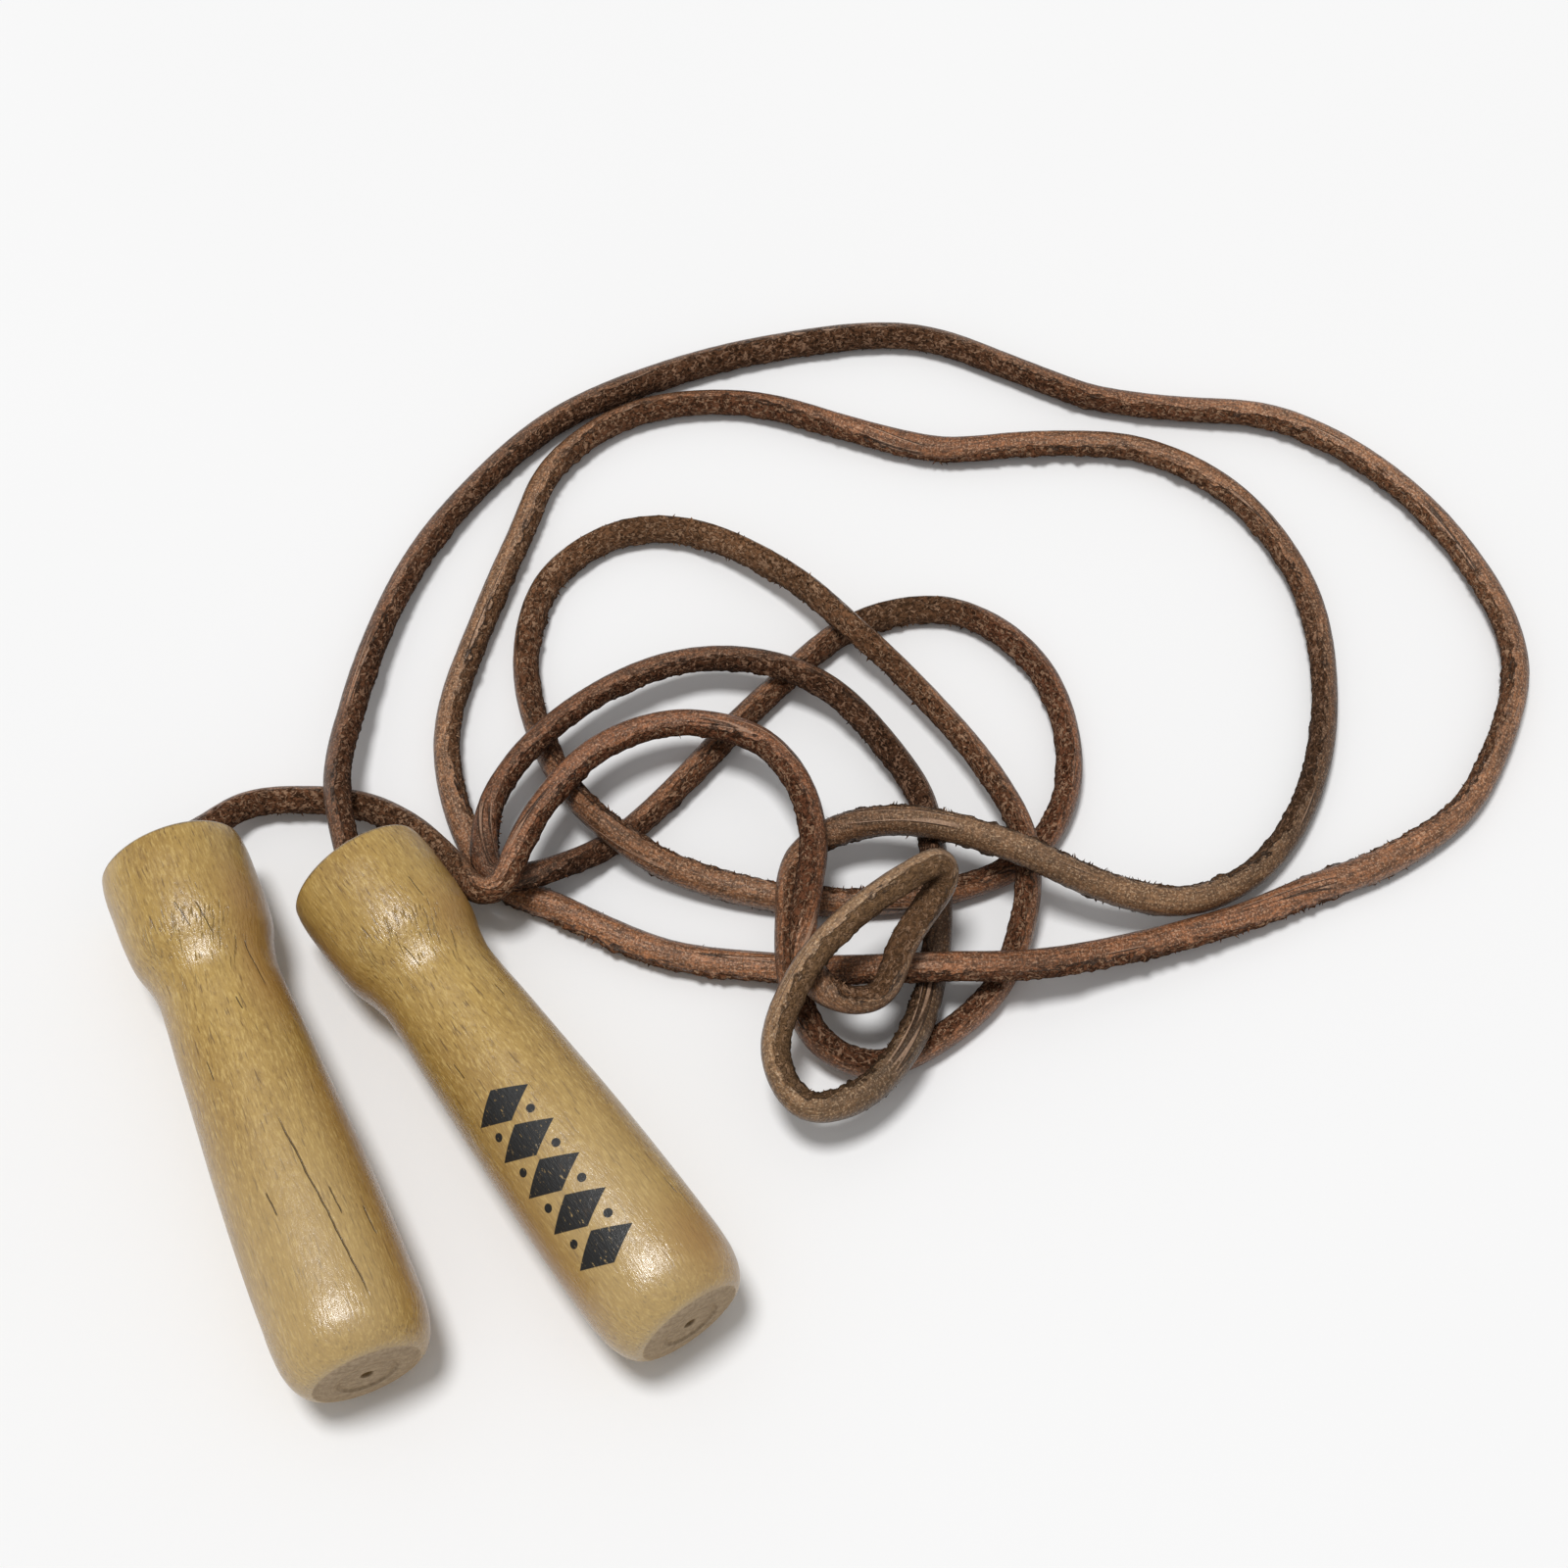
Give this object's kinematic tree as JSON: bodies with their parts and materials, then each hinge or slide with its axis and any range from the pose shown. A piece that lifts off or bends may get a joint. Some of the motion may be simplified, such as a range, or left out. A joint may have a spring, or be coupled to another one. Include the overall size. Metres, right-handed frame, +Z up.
{
  "type": "jump rope",
  "caption": "Round leather jump rope, loosely coiled, with turned wooden handles that spin on ball bearings hidden in their heads.",
  "frame": {"origin": "middle of the laid-out rope's outline, on the floor it lies on", "axes": "+Z up from the floor; +X along the coil's long way, away from the handles; the handles' butts point to -Y"},
  "size_m": [0.3567, 0.303, 0.0362],
  "materials": {
    "wood": "clear satin varnish on a pale turned hardwood",
    "leather": "round-cut brown leather, smooth on one side and rough on the other",
    "bearing_steel": "pressed steel, oiled",
    "balls": "polished bearing balls",
    "cover": "pressed steel, dulled"
  },
  "bodies": {
    "coil": {"cord": "leather"},
    "left_end": {"cord_end_left": "leather", "left_bearing_cone": "bearing_steel", "left_stop_washer": "bearing_steel", "left_cord_ferrule": "bearing_steel"},
    "left_grip": {"left_handle": "wood", "left_bearing_cup": "bearing_steel", "left_dust_cover": "cover"},
    "left_balls": {"left_ball_1": "balls", "left_ball_2": "balls", "left_ball_3": "balls", "left_ball_4": "balls", "left_ball_5": "balls", "left_ball_6": "balls", "left_ball_7": "balls", "left_ball_8": "balls"},
    "right_end": {"cord_end_right": "leather", "right_bearing_cone": "bearing_steel", "right_stop_washer": "bearing_steel", "right_cord_ferrule": "bearing_steel"},
    "right_grip": {"right_handle": "wood", "right_bearing_cup": "bearing_steel", "right_dust_cover": "cover"},
    "right_balls": {"right_ball_1": "balls", "right_ball_2": "balls", "right_ball_3": "balls", "right_ball_4": "balls", "right_ball_5": "balls", "right_ball_6": "balls", "right_ball_7": "balls", "right_ball_8": "balls"}
  },
  "joints": [
    {"name": "left_lift", "type": "hinge", "parent": "coil", "child": "left_end", "pos_m": [-0.142, 0.0045, 0.005], "axis": [-1, 0, 0], "range_deg": [0, 45]},
    {"name": "left_spin", "type": "hinge", "parent": "left_end", "child": "left_grip", "pos_m": [-0.1633, -0.0185, 0.01776], "axis": [0.3939, -0.9191, 0.0018], "continuous": true},
    {"name": "left_ball_travel", "type": "hinge", "parent": "left_end", "child": "left_balls", "pos_m": [-0.1633, -0.0185, 0.01776], "axis": [0.3939, -0.9191, 0.0018], "continuous": true},
    {"name": "right_lift", "type": "hinge", "parent": "coil", "child": "right_end", "pos_m": [-0.1235, 0.027, 0.0085], "axis": [-0.9871, 0.1604, 0], "range_deg": [0, 45]},
    {"name": "right_spin", "type": "hinge", "parent": "right_end", "child": "right_grip", "pos_m": [-0.118, -0.0225, 0.01776], "axis": [0.5821, -0.8131, 0.0018], "continuous": true},
    {"name": "right_ball_travel", "type": "hinge", "parent": "right_end", "child": "right_balls", "pos_m": [-0.118, -0.0225, 0.01776], "axis": [0.5821, -0.8131, 0.0018], "continuous": true}
  ],
  "couplings": [
    {"joint": "left_ball_travel", "follows": "left_spin", "ratio": 0.5952},
    {"joint": "right_ball_travel", "follows": "right_spin", "ratio": 0.5952}
  ]
}
